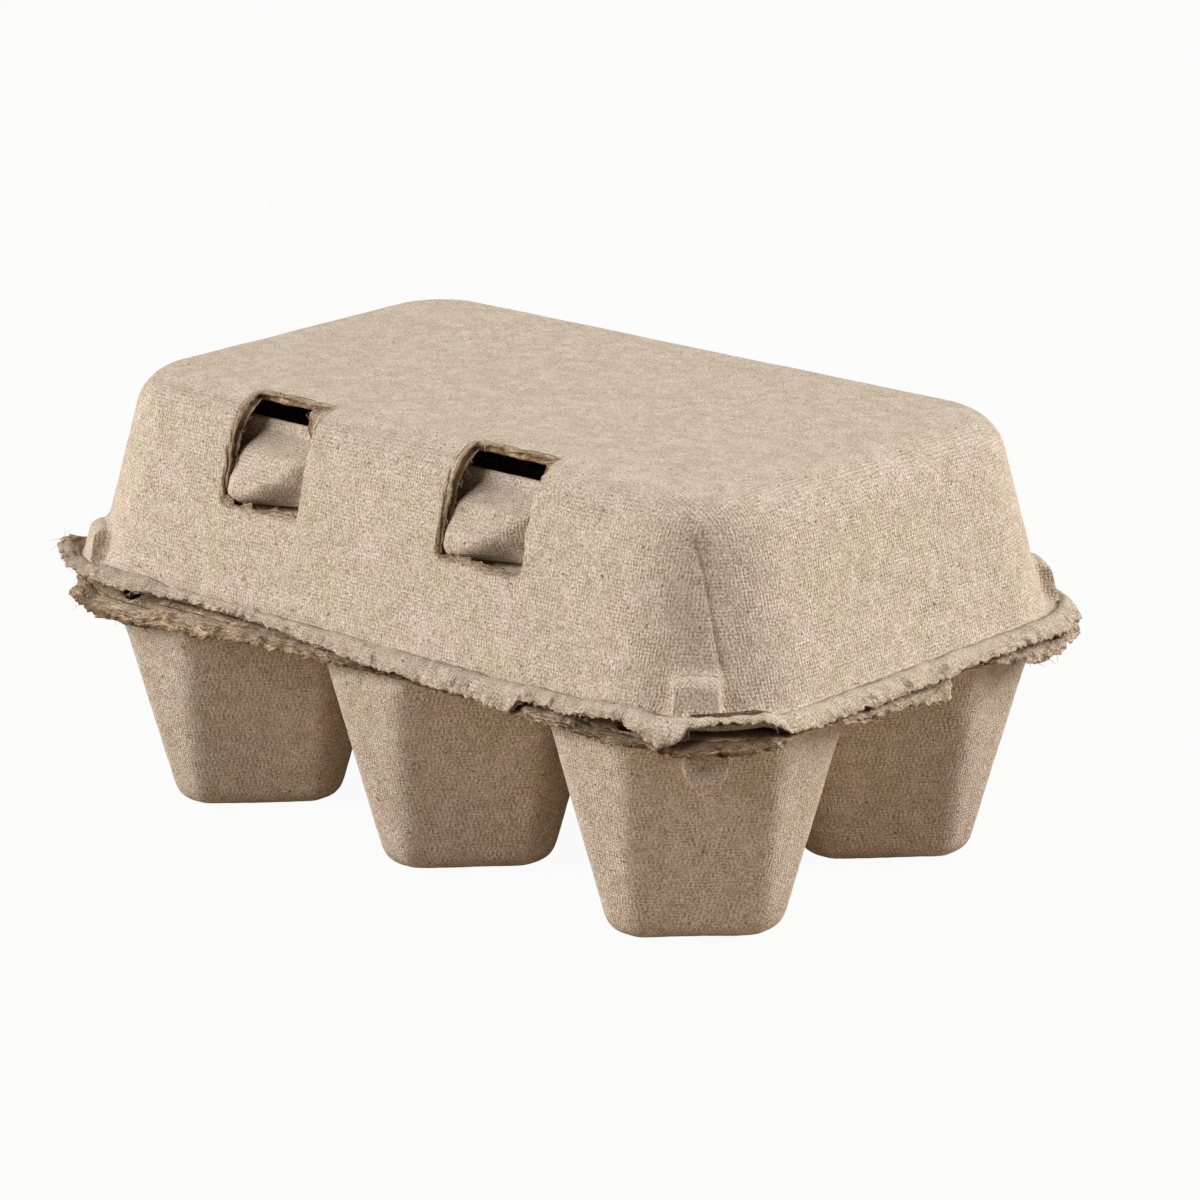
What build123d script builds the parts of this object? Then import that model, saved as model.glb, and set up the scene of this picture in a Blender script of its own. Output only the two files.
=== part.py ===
from build123d import *
from math import atan, cos, degrees, radians, sin, sqrt, tan
import os

# Half-dozen egg carton of moulded pulp, closed, standing on its six cells.
# X runs along the length, the latch side faces -Y, the lid folds at +Y, Z is up.

# Pulp, and the play between bodies that move, in millimetres
wall = 2.0
clearance = 0.3

# Tray: eight-sided cells hung from one flange
tray_depth = 37.0
cell_columns = 3
cell_rows = 2
cell_spacing = 45.8
cell_mouth = 49.0
cell_foot = 31.8
mouth_flat = 15.2
foot_flat = 4.6
cell_round = 4.4
floor_bevel = 1.4
saddle_drop = 6.0
saddle_round = 2.5
end_land = 4.7
side_land = 2.6
flange_corner = 19.0

# Hollow posts where four cells meet
post_rise = 10.0
post_top = 13.0
post_round = 2.5
post_bevel = 1.2
post_margin = 0.5

# Lid: a drafted cover on a flange of its own
lid_depth = 33.0
lid_draft = 15.0
lid_end_inset = 4.0
lid_side_inset = 3.5
lid_corner = 21.5
lid_shoulder = 8.0

# Stacking lugs on the four corners of lid and tray
lug_width = 7.0
lug_height = 6.2
lug_depth = 4.0
lid_lug_facing = 38.0
tray_lug_facing = 45.0
lug_round = 1.0
tray_lug_round = 2.8

# Latch: windows in the lid, and buttons on a flap folded up from the tray, all set off towards one end
latch_shift = -3.1
window_width = 16.3
window_lean = 0.5
window_drop = 16.3
window_head = 17.7
window_corner = 1.2
flap_end_gap = 1.0
flap_head_gap = 2.4
flap_lean = 22.0
flap_splay = 8.0
flap_corner = 6.0
button_width = 15.3
button_margin = 0.7
button_nose = 3.4
button_crown = 7.8
crown_setback = 1.6
button_round = 1.4

# Heights and outlines worked out from the sizes above
flange_top = tray_depth - clearance / 2
flange_bottom = flange_top - wall
lid_base = tray_depth + clearance / 2
lid_top = tray_depth + lid_depth
length = (cell_columns - 1) * cell_spacing + cell_mouth + 2 * end_land
width = (cell_rows - 1) * cell_spacing + cell_mouth + 2 * side_land
cell_inset = wall / cos(atan((cell_mouth - cell_foot) / 2 / tray_depth))
lid_inset = wall / cos(radians(lid_draft))
diagonal = 1 / sqrt(2)


def cell_reach(height, turn, inset):
    # Distance from the axis of a cell to one of its eight sides; even turns face the narrow ones.
    share = height / tray_depth
    across = cell_foot + share * (cell_mouth - cell_foot)
    flat = foot_flat + share * (mouth_flat - foot_flat)
    return (across / 2, (across + flat) / 2 * diagonal)[turn % 2] - inset


def cell_flat(height, inset):
    # Length of a narrow side of a cell at a height.
    return 2 * (cell_reach(height, 1, inset) / diagonal - cell_reach(height, 0, inset))


def cell_side(turn, inset):
    # The sloping plane of one side of a cell, facing out.
    foot = cell_reach(0, turn, inset)
    mouth = cell_reach(tray_depth, turn, inset)
    x, y = cos(radians(45 * turn)), sin(radians(45 * turn))
    return Plane((foot * x, foot * y, 0), z_dir=(tray_depth * x, tray_depth * y, foot - mouth))


def cell(floor, inset):
    # One cup, from its floor to the top of the flange, drawn in by the inset.
    with BuildPart() as cup:
        with BuildSketch(Plane.XY.offset(floor)):
            Rectangle(2 * cell_mouth, 2 * cell_mouth)
        extrude(amount=flange_top - floor)
        for turn in range(8):
            split(bisect_by=cell_side(turn, inset), keep=Keep.BOTTOM)
    return cup.part


def cell_outside():
    # A cup as it stands on the table, with soft edges all round its foot.
    with BuildPart() as cup:
        add(cell(0, 0))
        feet, uprights = cup.edges().group_by(Axis.Z)[:2]
        fillet(feet + uprights, cell_round)
    return cup.part


def cell_inside():
    # The hollow that holds an egg, one wall inside the cup.
    with BuildPart() as hollow:
        add(cell(wall, cell_inset))
        chamfer(hollow.faces().sort_by(Axis.Z)[0].edges(), floor_bevel)
        fillet(hollow.edges().group_by(Axis.Z)[-2], cell_round - cell_inset)
    return hollow.part


def saddle():
    # The dip that lowers the ridge between two cells that stand side by side along X.
    ridge = tray_depth - saddle_drop
    ridge_half = cell_flat(ridge, cell_inset) / 2
    mouth_half = cell_flat(tray_depth, cell_inset) / 2
    with BuildPart() as dip:
        with BuildSketch(Plane.YZ) as profile:
            Polygon(
                (-ridge_half, ridge),
                (ridge_half, ridge),
                (mouth_half, tray_depth),
                (-mouth_half, tray_depth),
                align=None,
            )
            fillet(profile.vertices().group_by(Axis.Y)[0], saddle_round)
        extrude(amount=2 * wall, both=True)
    return dip.part


def post_side(height, inset):
    # Side of the square that four neighbouring cells leave free between their wide sides.
    return 2 * (cell_spacing * diagonal - cell_reach(height, 1, inset))


def pyramid(base_side, top_side, top):
    # A pyramid without its tip, set cornerwise between four cells.
    rise = top - flange_bottom
    with BuildPart() as block:
        with BuildSketch(Plane.XY.offset(flange_bottom)):
            Rectangle(base_side, base_side, rotation=45)
        extrude(amount=rise, taper=degrees(atan((base_side - top_side) / 2 / rise)))
    return block.part


def post():
    # The outside of a post, with rounded uprights and a bevelled head.
    with BuildPart() as block:
        add(pyramid(post_side(flange_bottom, cell_inset), post_top, tray_depth + post_rise))
        chamfer(block.faces().sort_by(Axis.Z)[-1].edges(), post_bevel)
        fillet(block.edges().group_by(Axis.Z)[1], post_round)
    return block.part


def corner_planes(x, y, height, facing):
    # Upright planes through four mirrored points, each turned out from its long side by the facing.
    signs = [(-1, -1), (1, -1), (1, 1), (-1, 1)]
    end, side = sin(radians(facing)), cos(radians(facing))
    return [
        Plane((i * x, j * y, height), x_dir=(-j * side, i * end, 0), z_dir=(i * end, j * side, 0))
        for i, j in signs
    ]


def lug(rise, back, front, inset, corner):
    # A stacking lug seen from its corner: it stands on the flange, or hangs below it.
    with BuildPart() as block:
        with BuildSketch(Plane.XY.offset(-back)) as face:
            with Locations((0, rise / 2)):
                Rectangle(lug_width - 2 * inset, abs(rise))
            fillet(face.vertices().sort_by(lambda point: -point.Y * rise)[:2], corner)
        extrude(amount=back + front)
    return block.part


def lid_sizes(height, inset):
    # Length, width and corner radius of the cover at a height.
    step = inset + (height - lid_base) * tan(radians(lid_draft))
    return length - 2 * (lid_end_inset + step), width - 2 * (lid_side_inset + step), lid_corner - step


def cover(inset, top, shoulder):
    # The drafted block of the lid, with conical corners and a rounded shoulder.
    with BuildPart() as block:
        with BuildSketch(Plane.XY.offset(lid_base)):
            RectangleRounded(*lid_sizes(lid_base, inset))
        extrude(amount=top - lid_base, taper=lid_draft)
        fillet(block.faces().sort_by(Axis.Z)[-1].edges(), shoulder)
    return block.part


def lid_front(height, inset):
    # Where the drafted front wall of the lid stands at a height.
    return -lid_sizes(height, inset)[1] / 2


# The flap folds just inside the front wall of the lid and leans back from it
fold_z = flange_top + clearance + wall / 2
fold_y = lid_front(fold_z, lid_inset) + (wall / 2 + clearance) / cos(radians(lid_draft))
flap_length = length - 2 * (lid_end_inset + lid_corner + flap_end_gap)
flap_height = (lid_top - wall - flap_head_gap - fold_z) / cos(radians(flap_lean))
flap_z_dir = (0, -cos(radians(flap_lean)), sin(radians(flap_lean)))
flap_plane = Plane((0, fold_y, fold_z), x_dir=(1, 0, 0), z_dir=flap_z_dir)
sill = lid_top - window_drop
button_base = sill + clearance
button_top = lid_top - wall - flap_head_gap - button_margin


def flap_y(height):
    # Where the middle of the leaning flap stands at a height.
    return fold_y + (height - fold_z) * tan(radians(flap_lean))


def button_outline(behind):
    # Side of a latch button: flat below, a blunt nose, a full crown, then a slope back to the flap.
    nose = button_base + button_nose
    crown = button_base + button_crown
    crown_y = lid_front(crown, clearance + crown_setback)
    slope = (button_top - crown) / (flap_y(button_top) - crown_y)
    return [
        (flap_y(button_base) + behind, button_base),
        (lid_front(button_base, clearance), button_base),
        (lid_front(nose, clearance), nose),
        (crown_y, crown),
        (flap_y(button_top) + behind, button_top + behind * slope),
    ]


def button():
    # The outside of a latch button, rounded everywhere but where it grows from the flap.
    with BuildPart() as pillow:
        with BuildSketch(Plane.YZ):
            Polygon(*button_outline(0), align=None)
        extrude(amount=button_width / 2, both=True)
        root = pillow.faces().sort_by(Axis.Y)[-1]
        fillet(pillow.edges() - root.edges(), button_round)
    return pillow.part


def button_hollow():
    # The dent behind a latch button, one wall inside its outside.
    with BuildPart() as dent:
        with BuildSketch(Plane.YZ):
            Polygon(*button_outline(3 * wall), align=None)
            offset(amount=-wall, kind=Kind.INTERSECTION, mode=Mode.REPLACE)
        extrude(amount=button_width / 2 - wall, both=True)
    return dent.part


# Each lug grows from the wall behind it, level with that wall at the end away from the flange
tray_lug_reach = cell_reach(flange_bottom - lug_height, 1, 0) * diagonal
tray_lug_planes = corner_planes(
    (cell_columns - 1) * cell_spacing / 2 + tray_lug_reach,
    (cell_rows - 1) * cell_spacing / 2 + tray_lug_reach,
    flange_top,
    tray_lug_facing,
)
lid_lug_x, lid_lug_y, lid_lug_corner = lid_sizes(lid_base + wall + lug_height, 0)
lid_lug_planes = corner_planes(
    lid_lug_x / 2 - lid_lug_corner * (1 - sin(radians(lid_lug_facing))),
    lid_lug_y / 2 - lid_lug_corner * (1 - cos(radians(lid_lug_facing))),
    lid_base,
    lid_lug_facing,
)

with BuildPart() as tray:
    with BuildSketch(Plane.XY.offset(flange_bottom)):
        RectangleRounded(length, width, flange_corner)
    extrude(amount=wall)
    with GridLocations(cell_spacing, cell_spacing, cell_columns, cell_rows):
        add(cell_outside())
    with Locations(*tray_lug_planes):
        add(lug(-lug_height - wall, wall, lug_depth, 0, tray_lug_round))
    with GridLocations(cell_spacing, cell_spacing, cell_columns - 1, cell_rows - 1):
        add(post())
    with GridLocations(cell_spacing, cell_spacing, cell_columns, cell_rows):
        add(cell_inside(), mode=Mode.SUBTRACT)
    with GridLocations(cell_spacing, cell_spacing, cell_columns - 1, cell_rows):
        add(saddle(), mode=Mode.SUBTRACT)
    with GridLocations(cell_spacing, cell_spacing, cell_columns, cell_rows - 1):
        add(saddle(), rotation=(0, 0, 90), mode=Mode.SUBTRACT)
    with GridLocations(cell_spacing, cell_spacing, cell_columns - 1, cell_rows - 1):
        hollow_side = post_side(flange_bottom, 0) - 2 * post_margin
        hollow_top = tray_depth + post_rise - wall
        add(pyramid(hollow_side, post_top - 2 * wall, hollow_top), mode=Mode.SUBTRACT)
    with Locations(*tray_lug_planes):
        add(lug(-lug_height, 2 * wall, lug_depth - wall, wall, lug_round), mode=Mode.SUBTRACT)
    with BuildSketch(Plane.XY.offset(flange_bottom)):
        land_front = side_land - width / 2
        with Locations((0, land_front)):
            land_depth = fold_y + wall - land_front
            Rectangle(flap_length + 2 * wall, land_depth, align=(Align.CENTER, Align.MIN))
    extrude(amount=wall)

with BuildPart() as lid:
    with BuildSketch(Plane.XY.offset(lid_base)):
        RectangleRounded(length, width, flange_corner)
    extrude(amount=wall)
    add(cover(0, lid_top, lid_shoulder))
    with Locations(*lid_lug_planes):
        add(lug(lug_height + wall, wall, lug_depth, 0, lug_round))
    add(cover(lid_inset, lid_top - wall, lid_shoulder - wall), mode=Mode.SUBTRACT)
    with Locations(*lid_lug_planes):
        add(lug(lug_height, 2 * wall, lug_depth - wall, wall, lug_round), mode=Mode.SUBTRACT)
    with BuildSketch(Plane.XZ.offset(width / 2 - window_head)) as windows:
        window_half = window_width / 2
        head_half = window_half - window_drop * tan(radians(window_lean))
        with Locations((latch_shift, 0)), GridLocations(cell_spacing, cell_spacing, cell_columns - 1, 1):
            Polygon(
                (-window_half, sill),
                (window_half, sill),
                (head_half, lid_top),
                (-head_half, lid_top),
                align=None,
            )
        fillet(windows.vertices().group_by(Axis.Y)[0], window_corner)
    extrude(amount=window_head, mode=Mode.SUBTRACT)

with BuildPart() as latch_flap:
    with BuildSketch(flap_plane) as sheet:
        flap_half = flap_length / 2
        head_half = flap_half - flap_height * tan(radians(flap_splay))
        Polygon(
            (-flap_half, 0),
            (flap_half, 0),
            (head_half, flap_height),
            (-head_half, flap_height),
            align=None,
        )
        fillet(sheet.vertices().group_by(Axis.Y)[-1], flap_corner)
    extrude(amount=wall / 2, both=True)
    with BuildSketch(Plane.YZ.offset(-flap_length / 2)):
        with Locations((fold_y, fold_z)):
            Circle(wall / 2)
    extrude(amount=flap_length)
    with Locations((latch_shift, 0)), GridLocations(cell_spacing, cell_spacing, cell_columns - 1, 1):
        add(button())
    with Locations((latch_shift, 0)), GridLocations(cell_spacing, cell_spacing, cell_columns - 1, 1):
        add(button_hollow(), mode=Mode.SUBTRACT)

tray.part.label = "tray"
lid.part.label = "lid"
latch_flap.part.label = "latch_flap"
os.makedirs("parts", exist_ok=True)
for piece in (tray.part, lid.part, latch_flap.part):
    export_step(piece, f"parts/{piece.label}.step")
    print(piece.label, len(piece.solids()), round(piece.volume), piece.is_valid)
print("fold of the flap", round(fold_y, 2), round(fold_z, 2), "hinge line", width / 2, tray_depth)
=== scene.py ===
import math
import random

import bmesh
import bpy
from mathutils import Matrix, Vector, noise


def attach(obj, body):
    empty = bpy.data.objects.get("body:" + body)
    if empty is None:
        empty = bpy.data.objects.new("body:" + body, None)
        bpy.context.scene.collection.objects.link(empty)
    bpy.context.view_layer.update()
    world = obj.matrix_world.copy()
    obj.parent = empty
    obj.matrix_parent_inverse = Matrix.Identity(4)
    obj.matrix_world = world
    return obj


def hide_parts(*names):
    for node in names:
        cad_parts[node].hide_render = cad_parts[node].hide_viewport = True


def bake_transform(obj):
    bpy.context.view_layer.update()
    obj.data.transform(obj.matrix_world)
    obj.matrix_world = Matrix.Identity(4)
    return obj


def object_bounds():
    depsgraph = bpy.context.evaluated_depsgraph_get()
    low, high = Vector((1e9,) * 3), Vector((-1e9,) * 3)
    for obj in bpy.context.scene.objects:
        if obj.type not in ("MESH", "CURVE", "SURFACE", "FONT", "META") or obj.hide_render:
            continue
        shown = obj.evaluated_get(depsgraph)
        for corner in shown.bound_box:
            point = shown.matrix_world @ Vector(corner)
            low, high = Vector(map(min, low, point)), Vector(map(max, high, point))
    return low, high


# Half-dozen egg carton of moulded pulp: tray, lid and latch flap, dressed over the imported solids.
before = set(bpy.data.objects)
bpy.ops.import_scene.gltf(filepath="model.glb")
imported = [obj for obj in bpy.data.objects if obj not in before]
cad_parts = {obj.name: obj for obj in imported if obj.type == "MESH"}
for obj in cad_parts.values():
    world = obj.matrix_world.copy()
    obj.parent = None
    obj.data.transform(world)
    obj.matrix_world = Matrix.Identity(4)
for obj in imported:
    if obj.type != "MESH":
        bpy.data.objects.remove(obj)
cadLow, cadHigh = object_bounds()
mm = 0.001
random.seed(62)

# Sizes that the pieces share, in millimetres, read from the solids where they can be
carton = {
    "halfLength": cadHigh.x / mm,
    "halfWidth": cadHigh.y / mm,
    "height": cadHigh.z / mm,
    "rimHeight": 37.0,
    "rimCorner": 19.0,
    "flange": 2.0,
    "wallFoot": 46.5,
    "wallLean": math.radians(15),
    "shoulder": 8.0,
    "windowX": (-26.0, 19.8),
    "windowHalf": 8.15,
    "headHalf": 8.0,
    "headLine": -32.3,
    "sill": 53.7,
    "lugX": 61.4,
    "lugY": 40.2,
    "lugFacing": math.radians(38),
    "lugTop": 45.35,
}
print("carton", carton)


def smoothStep(low, high, value):
    share = min(1.0, max(0.0, (value - low) / (high - low)))
    return share * share * (3 - 2 * share)


def bell(distance, spread):
    return math.exp(-((distance / spread) ** 2))


def ripple(point, size, seed=0.0):  # smooth noise from -1 to 1, with features about this many mm apart
    return noise.noise(Vector((point.x / size + seed, point.y / size, point.z / size)))


def rimPlace(point):  # depth inside the flange's outline, the way out, and the way round from mid front
    straightX = carton["halfLength"] - carton["rimCorner"]
    straightY = carton["halfWidth"] - carton["rimCorner"]
    quarter = carton["rimCorner"] * math.pi / 2
    endsAt = straightX + 2 * quarter + 2 * straightY
    qx, qy = abs(point.x) - straightX, abs(point.y) - straightY
    if qx > 0 and qy > 0:
        reach = math.hypot(qx, qy)
        out = Vector((math.copysign(qx / reach, point.x), math.copysign(qy / reach, point.y), 0))
        turned = carton["rimCorner"] * math.atan2(qx, qy)
        along = straightX + turned if point.y < 0 else endsAt - turned
        return carton["rimCorner"] - reach, out, math.copysign(along, point.x)
    if qx > qy:
        out = Vector((math.copysign(1, point.x), 0, 0))
        along = straightX + quarter + straightY + point.y
        return carton["rimCorner"] - qx, out, math.copysign(along, point.x)
    out = Vector((0, math.copysign(1, point.y), 0))
    along = abs(point.x) if point.y < 0 else endsAt + straightX - abs(point.x)
    return carton["rimCorner"] - qy, out, math.copysign(along, point.x)


def rimFrame(along):  # a point of the flange's outline, and the way out there
    straightX = carton["halfLength"] - carton["rimCorner"]
    straightY = carton["halfWidth"] - carton["rimCorner"]
    corner = carton["rimCorner"]
    quarter = corner * math.pi / 2
    way, side = abs(along), math.copysign(1, along)
    if way <= straightX:
        point, out = Vector((way, -carton["halfWidth"], 0)), Vector((0, -1, 0))
    elif way <= straightX + quarter:
        turn = (way - straightX) / corner
        out = Vector((math.sin(turn), -math.cos(turn), 0))
        point = Vector((straightX, -straightY, 0)) + out * corner
    elif way <= straightX + quarter + 2 * straightY:
        point = Vector((carton["halfLength"], way - straightX - quarter - straightY, 0))
        out = Vector((1, 0, 0))
    elif way <= straightX + 2 * quarter + 2 * straightY:
        turn = (way - straightX - quarter - 2 * straightY) / corner
        out = Vector((math.cos(turn), math.sin(turn), 0))
        point = Vector((straightX, straightY, 0)) + out * corner
    else:
        back = 2 * straightX + 2 * quarter + 2 * straightY - way
        point, out = Vector((back, carton["halfWidth"], 0)), Vector((0, 1, 0))
    return Vector((side * point.x, point.y, 0)), Vector((side * out.x, out.y, 0))


def wallFrame(climb):  # the lid's front, followed up from the sill and over the shoulder, and its way out
    lean, curve = carton["wallLean"], carton["shoulder"]
    run = curve * math.tan((math.pi / 2 - lean) / 2)
    straight = (carton["height"] - carton["sill"]) / math.cos(lean) - run
    rise = min(climb, straight)
    height = carton["sill"] + rise * math.cos(lean)
    point = Vector((0, (height - carton["rimHeight"]) * math.tan(lean) - carton["wallFoot"], height))
    out = Vector((0, -math.cos(lean), math.sin(lean)))
    if climb > straight:
        turn = min(lean + (climb - straight) / curve, math.pi / 2)
        centre = point - out * curve
        out = Vector((0, -math.cos(turn), math.sin(turn)))
        point = centre + out * curve
    return point, out


def between(way, points):  # values met on the way along a list of given points
    if way <= points[0][0]:
        return points[0][1:]
    for before, after in zip(points, points[1:]):
        if way <= after[0]:
            share = (way - before[0]) / (after[0] - before[0])
            return tuple(a + share * (b - a) for a, b in zip(before[1:], after[1:]))
    return points[-1][1:]


def inBox(spot):  # the nearest point that lies within the solids' own box
    x = max(-carton["halfLength"], min(carton["halfLength"], spot.x))
    y = max(-carton["halfWidth"], min(carton["halfWidth"], spot.y))
    return Vector((x, y, max(0.0, min(carton["height"], spot.z))))


def stretch(along, part):  # 1 along one stretch of the rim, fading over its own ends
    start, end, fadeIn, fadeOut = part[:4]
    return smoothStep(start - fadeIn, start, along) * (1 - smoothStep(end, end + fadeOut, along))


def patches(along, parts):  # what several stretches of the rim add up to at one place
    return sum(part[4] * stretch(along, part) for part in parts)


def wander(point, runs, seed=0.0, shape=float):  # ripples added up, each with its size, share and seed
    return sum(share * shape(ripple(point, size, seed + step)) for size, share, step in runs)


# Every pulp piece is a fine, even skin over its solid, worked point by point, then thinned where it is flat
def pulpPiece(name, node, look, work):
    bm = bmesh.new()
    bm.from_mesh(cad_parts[node].data)
    bmesh.ops.remove_doubles(bm, verts=bm.verts, dist=1e-6)
    mesh = bpy.data.meshes.new(name)
    bm.to_mesh(mesh)
    bm.free()
    piece = bpy.data.objects.new(name, mesh)
    bpy.context.scene.collection.objects.link(piece)
    skin = piece.modifiers.new("skin", "REMESH")
    skin.mode = "VOXEL"
    skin.voxel_size = look["grain"] * mm
    bakeModifiers(piece)
    bm = bmesh.new()
    bm.from_mesh(piece.data)
    everyAxis = {"use_axis_x": True, "use_axis_y": True, "use_axis_z": True}
    for step in range(look["softenings"]):
        bmesh.ops.smooth_vert(bm, verts=bm.verts, factor=0.5, **everyAxis)
    bm.normal_update()
    torn, crackAndShade, ply = [bm.verts.layers.float.new(kind) for kind in ("torn", "crackAndShade", "ply")]
    for vert in bm.verts:
        place, vert[torn], vert[crackAndShade], vert[ply] = work(vert.co / mm, vert.normal, look)
        vert.co = place * mm
    bm.to_mesh(piece.data)
    bm.free()
    count = sum(len(face.vertices) - 2 for face in piece.data.polygons)
    if count > look["triangles"]:
        thin = piece.modifiers.new("thin", "DECIMATE")
        thin.ratio = look["triangles"] / count
        bakeModifiers(piece)
    for face in piece.data.polygons:
        face.use_smooth = True
    print(name, count, "triangles, thinned to", sum(len(face.vertices) - 2 for face in piece.data.polygons))
    return piece


def bakeModifiers(piece):
    graph = bpy.context.evaluated_depsgraph_get()
    mesh = bpy.data.meshes.new_from_object(piece.evaluated_get(graph))
    old = piece.data
    piece.modifiers.clear()
    piece.data = mesh
    bpy.data.meshes.remove(old)


def finishPiece(piece, material, body, *nodes):
    piece.data.materials.clear()
    piece.data.materials.append(material)
    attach(piece, body)
    if nodes:
        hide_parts(*nodes)


# Moulded pulp never lies quite flat; this always draws in, so that the piece stays within the solid
def lumps(point, look):
    broad = 0.5 + 0.5 * ripple(point, look["lumpSize"])
    fine = 0.5 + 0.5 * ripple(point, look["pitSize"], 7.0)
    return (look["lumpDepth"] * broad + look["pitDepth"] * fine) * (1 - backShut(point))


# The flanges: drawn back behind their skins, bent, and frayed along the cut
rimLook = {
    "flatShare": 0.6,  # of the flange's thickness
    "mostFray": 0.85,  # of the reach of the fray
    "fraySeed": 3.0,
    "waveSeed": 23.0,
    "tornEdge": (1.5, 3.0),
    "topFade": 1.6,
    "topFrom": (0.4, 0.8),
    "topTorn": 0.8,
    "backFrom": (40.0, 43.0),  # where the back run begins
    "backNear": (1.6, 2.2),  # how far above and below the parting line it reaches
}


def workRim(point, look):
    depth, out, along = rimPlace(point)
    height = point.z - look["flangeMiddle"]
    if depth > look["gapeReach"] or abs(height) > look["wallReach"]:
        return point, 0.0, 0.0, 0.0
    place = point.copy()
    around = Vector((point.x, point.y, 0))
    flat = 1 - smoothStep(rimLook["flatShare"] * carton["flange"], look["wallReach"], abs(height))
    lipDepth = between(along, look["lips"])[0]
    ragged = 0.5 + 0.5 * ripple(point, look["tearSize"], rimLook["fraySeed"])
    fray = lipDepth + look["bodyBack"] + look["fray"] * ragged
    fray = min(fray, rimLook["mostFray"] * look["frayReach"])
    if out.y > 0.5 and abs(point.x) < foldLook["halfLength"] + foldLook["margin"]:
        fray = foldLook["room"]
    edge = max(0.0, 1 - depth / look["frayReach"]) * flat
    place -= out * fray * edge
    loose = 1 - backShut(point)
    place.z -= height * look["thin"] * edge * loose
    wave = look["wave"] * edge * loose * ripple(around, look["waveSize"], rimLook["waveSeed"])
    place.z += (rimLift(along, depth, look) + wave) * flat
    torn = (1 - smoothStep(*rimLook["tornEdge"], depth)) * flat
    top = 1 - smoothStep(look["tornTop"], look["tornTop"] + rimLook["topFade"], depth)
    top *= smoothStep(*rimLook["topFrom"], height) * flat
    return place, max(torn, rimLook["topTorn"] * top), 0.0, height


def backShut(point):  # 1 on the flanges' back run, where lid and tray lie flat against each other
    away = abs(point.z - carton["rimHeight"])
    return smoothStep(*rimLook["backFrom"], point.y) * (1 - smoothStep(*rimLook["backNear"], away))


def rimLift(along, depth, look):  # how far a flange is bent up or down, at a depth inside its outline
    lipHeight = between(along, look["lips"])[1]
    follow = min(look["highest"], look["follow"] * (lipHeight - look["lipLevel"]))
    lift = follow * (1 - smoothStep(0.0, look["flangeReach"], depth))
    return lift + patches(along, look["gapes"]) * (1 - smoothStep(0.0, look["gapeReach"], depth))


# Thin skins of pulp with ragged lips, made from cross-sections that run from root to lip
skinLook = {
    "rootThick": 0.1,  # share of the thickness at the root, and how fast it grows from there
    "rootGrowth": 3.5,
    "pockSize": 1.3,
    "pockLevel": (0.16, 0.42),
    "pockShare": (0.35, 0.7),
    "pockPatch": 7.0,
    "pockPatchLevel": (-0.1, 0.4),
    "pockDepth": 0.5,
    "pockSeeds": (91.0, 55.0),
    # painted shade for the gap between the flanges: its strength at a skin's root, and how much it fades by
    # the lip
    "rootGapShade": 1.5,
    "gapShadeFade": 0.8,
    # painted shade line in the crease at a skin's root: its ripples, its level, and the share of the skin it
    # covers
    "line": [(6.0, 1.1, 77.0)],
    "lineLevel": 0.65,
    "lineShare": (0.1, 0.24),
    "mostCrackAndShade": 0.95,
    "plyRun": 1.5,
}


def pockAt(place, share):  # 1 in the middle of a dark pock in a torn lip
    small, broad = skinLook["pockSeeds"]
    pock = smoothStep(*skinLook["pockLevel"], ripple(place, skinLook["pockSize"], small))
    patch = smoothStep(*skinLook["pockPatchLevel"], ripple(place, skinLook["pockPatch"], broad))
    return pock * patch * smoothStep(*skinLook["pockShare"], share)


def skinPiece(name, sections, look):
    bm = bmesh.new()
    torn, crackAndShade, ply = [bm.verts.layers.float.new(kind) for kind in ("torn", "crackAndShade", "ply")]
    last = []
    for section in sections:
        count = len(section) - 1
        ring = []
        for side in (1, -1):
            for step in range(count + 1)[::side]:
                place, up = section[step]
                share = step / count
                feather = min(1.0, skinLook["rootThick"] + skinLook["rootGrowth"] * share)
                half = look["thick"] * (1 - look["taper"] * share) * feather / 2
                pock = look["pocks"] * pockAt(place, share) if side > 0 else 0.0
                vert = bm.verts.new(inBox(place + up * (side * half - skinLook["pockDepth"] * pock)) * mm)
                bare = smoothStep(look["tornFrom"], 1.0, share) if side > 0 else 1.0
                along = rimPlace(place)[2]
                vert[torn] = look["tornTo"] * bare * (1 - patches(along, look["fresh"]))
                # painted shade: darker on listed stretches of the rim, most at the root, where the gap under
                # the lid's lip lies in shade
                paintedGapShade = skinLook["rootGapShade"] - skinLook["gapShadeFade"] * share
                paintedGapShade *= patches(along, look["stains"])
                # painted shade: a broken dark line at the skin's root, in the crease along the foot of the
                # wall
                line = look["rootLine"] * max(0.0, skinLook["lineLevel"] + wander(place, skinLook["line"]))
                line *= 1 - smoothStep(*skinLook["lineShare"], share)
                vert[crackAndShade] = min(skinLook["mostCrackAndShade"], paintedGapShade + pock + line)
                vert[ply] = skinLook["plyRun"] * share + side * half
                ring.append(vert)
        if last:
            for index in range(len(ring)):
                bm.faces.new((last[index - 1], last[index], ring[index], ring[index - 1]))
        else:
            bm.faces.new(ring)
        last = ring
    bm.faces.new(last[::-1])
    bmesh.ops.recalc_face_normals(bm, faces=bm.faces)
    for face in bm.faces:
        face.smooth = True
    mesh = bpy.data.meshes.new(name)
    bm.to_mesh(mesh)
    bm.free()
    piece = bpy.data.objects.new(name, mesh)
    bpy.context.scene.collection.objects.link(piece)
    print(name, len(mesh.polygons), "faces")
    return piece


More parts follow.
